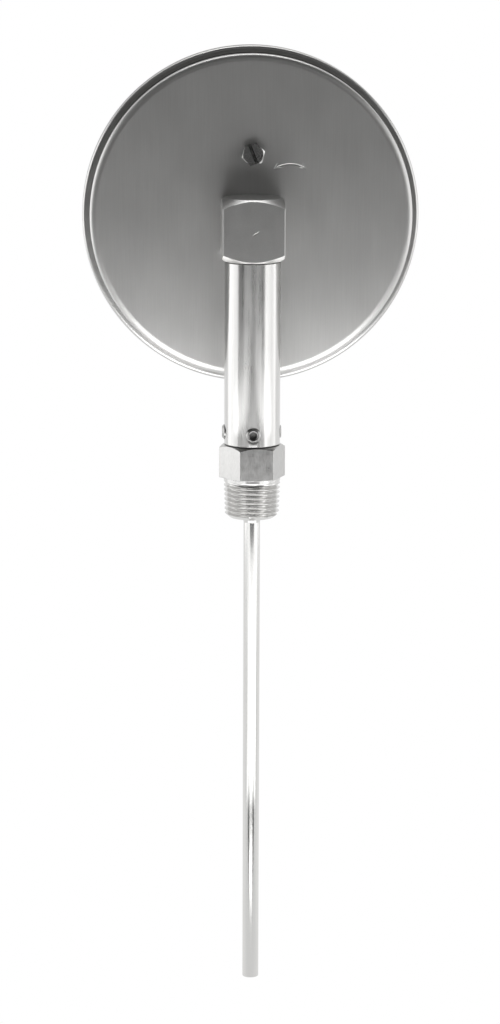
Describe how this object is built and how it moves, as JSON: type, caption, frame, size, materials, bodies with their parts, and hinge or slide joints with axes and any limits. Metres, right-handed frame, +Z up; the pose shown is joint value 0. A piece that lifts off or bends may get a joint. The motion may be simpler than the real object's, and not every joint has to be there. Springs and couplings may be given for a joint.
{
  "type": "dial thermometer",
  "caption": "Bimetal dial thermometer with a large round case, an elbow and pipe neck, a hexagon over a taper pipe thread and a long thin stem.",
  "frame": {"origin": "on the stem's axis, in the plane of the hexagon's underside, where the thread begins to enter the vessel", "axes": "+Z up along the stem's axis towards the case; the dial faces -Y; +X is on the right of someone reading the dial"},
  "size_m": [0.1288, 0.0378, 0.3627],
  "materials": {
    "satin_steel": "satin, with a fine vertical grain",
    "machined_steel": "turned or drawn, with fine tool lines",
    "polished_steel": "bright, lightly polished",
    "dark_steel": "black oxide on hardened steel",
    "brass": "turned, bare",
    "bimetal": "rolled strip, faintly heat tinted",
    "rubber": "matt black",
    "glass": "clear, polished",
    "white_enamel": "matt white enamel printed with a black scale",
    "black_enamel": "satin black"
  },
  "bodies": {
    "fitting": {"process_fitting": "machined_steel", "stem_tube": "polished_steel", "stem_tip_plug": "polished_steel", "lower_shaft_guide": "brass", "upper_shaft_guide": "brass", "coil_anchor": "brass", "bimetal_coil": "bimetal"},
    "head": {"neck_tube": "machined_steel", "elbow_block": "satin_steel", "neck_shaft_bearing": "brass", "case_stud": "machined_steel", "case_seal": "rubber", "lock_washer": "machined_steel", "case_nut": "machined_steel", "case_back": "satin_steel", "bezel_ring": "polished_steel", "window_gasket": "rubber", "window_glass": "glass", "rear_spindle_bearing": "brass", "front_spindle_bearing": "brass", "dial_retaining_ring": "machined_steel", "reset_bush": "machined_steel", "reset_o_ring": "rubber"},
    "clamp_back": {"set_screw_back": "dark_steel"},
    "clamp_front": {"set_screw_front": "dark_steel"},
    "clamp_left": {"set_screw_left": "dark_steel"},
    "clamp_right": {"set_screw_right": "dark_steel"},
    "shaft": {"coil_collar": "brass", "drive_shaft": "polished_steel", "drive_gear": "brass"},
    "pointer": {"pointer_spindle": "polished_steel", "pointer_gear": "brass", "pointer_hub": "brass", "pointer_needle": "black_enamel"},
    "dial": {"dial_plate": "white_enamel", "dial_hub": "brass", "reset_sector": "brass", "dial_screw_left": "machined_steel", "dial_screw_right": "machined_steel"},
    "reset": {"reset_screw": "machined_steel", "reset_pinion": "brass"}
  },
  "joints": [
    {"name": "head_swivel", "type": "hinge", "parent": "fitting", "child": "head", "pos_m": [0, 0, 0.0125], "axis": [0, 0, 1], "range_deg": [-180, 180]},
    {"name": "pointer_turn", "type": "hinge", "parent": "head", "child": "pointer", "pos_m": [0, 0, 0.0983], "axis": [0, 1, 0], "range_deg": [-75.6, 194.4], "stiffness_Nm_per_rad": 0.003},
    {"name": "shaft_turn", "type": "hinge", "parent": "head", "child": "shaft", "pos_m": [0, 0, 0], "axis": [0, 0, -1], "range_deg": [-75.6, 194.4]},
    {"name": "dial_adjust", "type": "hinge", "parent": "head", "child": "dial", "pos_m": [0, 0, 0.0983], "axis": [0, 1, 0], "range_deg": [-15, 15]},
    {"name": "reset_turn", "type": "hinge", "parent": "head", "child": "reset", "pos_m": [-0.0005, -0.0119, 0.1223], "axis": [0, 1, 0], "range_deg": [-60, 60]},
    {"name": "clamp_back_release", "type": "slide", "parent": "head", "child": "clamp_back", "axis": [0, 1, 0], "range_m": [0, 0.0019]},
    {"name": "clamp_front_release", "type": "slide", "parent": "head", "child": "clamp_front", "axis": [0, -1, 0], "range_m": [0, 0.0019]},
    {"name": "clamp_left_release", "type": "slide", "parent": "head", "child": "clamp_left", "axis": [-1, 0, 0], "range_m": [0, 0.0019]},
    {"name": "clamp_right_release", "type": "slide", "parent": "head", "child": "clamp_right", "axis": [1, 0, 0], "range_m": [0, 0.0019]}
  ],
  "couplings": [
    {"joint": "shaft_turn", "follows": "pointer_turn", "ratio": 1},
    {"joint": "reset_turn", "follows": "dial_adjust", "ratio": -4}
  ]
}
